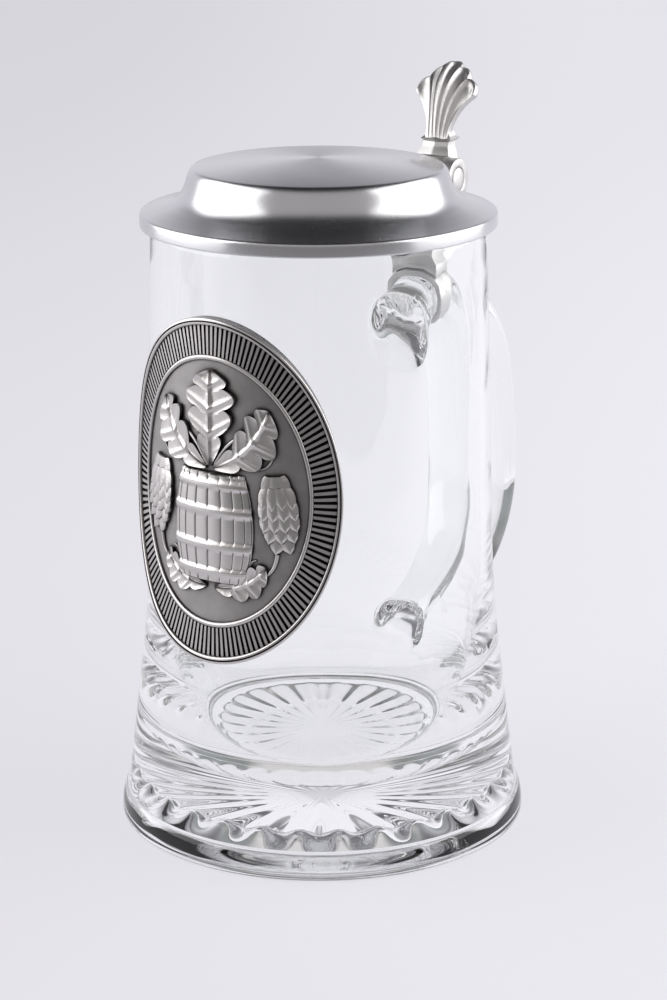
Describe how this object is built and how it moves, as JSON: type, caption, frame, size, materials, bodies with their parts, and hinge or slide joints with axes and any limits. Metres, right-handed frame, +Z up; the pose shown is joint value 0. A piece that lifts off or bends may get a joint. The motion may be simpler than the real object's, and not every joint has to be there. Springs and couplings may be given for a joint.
{
  "type": "lidded beer mug",
  "caption": "Clear glass beer mug with a flared heavy base, applied glass handle, oval pewter medallion and a domed pewter lid that swings up on a hinge by its shell thumb lift.",
  "frame": {"origin": "on the table under the middle of the whole object's box, so the mug's own axis is at X 0, Y -0.01976", "axes": "+Z up along the mug's axis; the medallion faces -Y, the handle and the hinge stand at +Y; +X is to the right seen from the medallion's side"},
  "size_m": [0.105, 0.1446, 0.1887],
  "materials": {
    "glass": "clear pressed soda-lime glass, fire polished",
    "spun_pewter": "spun pewter with fine turned lines, satin",
    "cast_pewter": "cast pewter, polished on the high spots",
    "aged_pewter": "cast pewter, darkened in the recesses and rubbed bright on the edges",
    "pin_steel": "drawn steel wire",
    "adhesive": "thin grey-white adhesive"
  },
  "bodies": {
    "mug": {"glass_body": "glass", "glass_handle": "glass", "handle_band": "cast_pewter", "hinge_shank": "cast_pewter", "hinge_pin": "pin_steel", "pin_cap_left": "cast_pewter", "pin_cap_right": "cast_pewter", "medallion": "aged_pewter", "medallion_pad": "adhesive"},
    "lid": {"lid": "spun_pewter", "lid_tang": "cast_pewter", "thumb_lift": "cast_pewter"}
  },
  "joints": [
    {"name": "lid_hinge", "type": "hinge", "parent": "mug", "child": "lid", "pos_m": [0, 0.03674, 0.1577], "axis": [-1, 0, 0], "range_deg": [0, 100]}
  ]
}
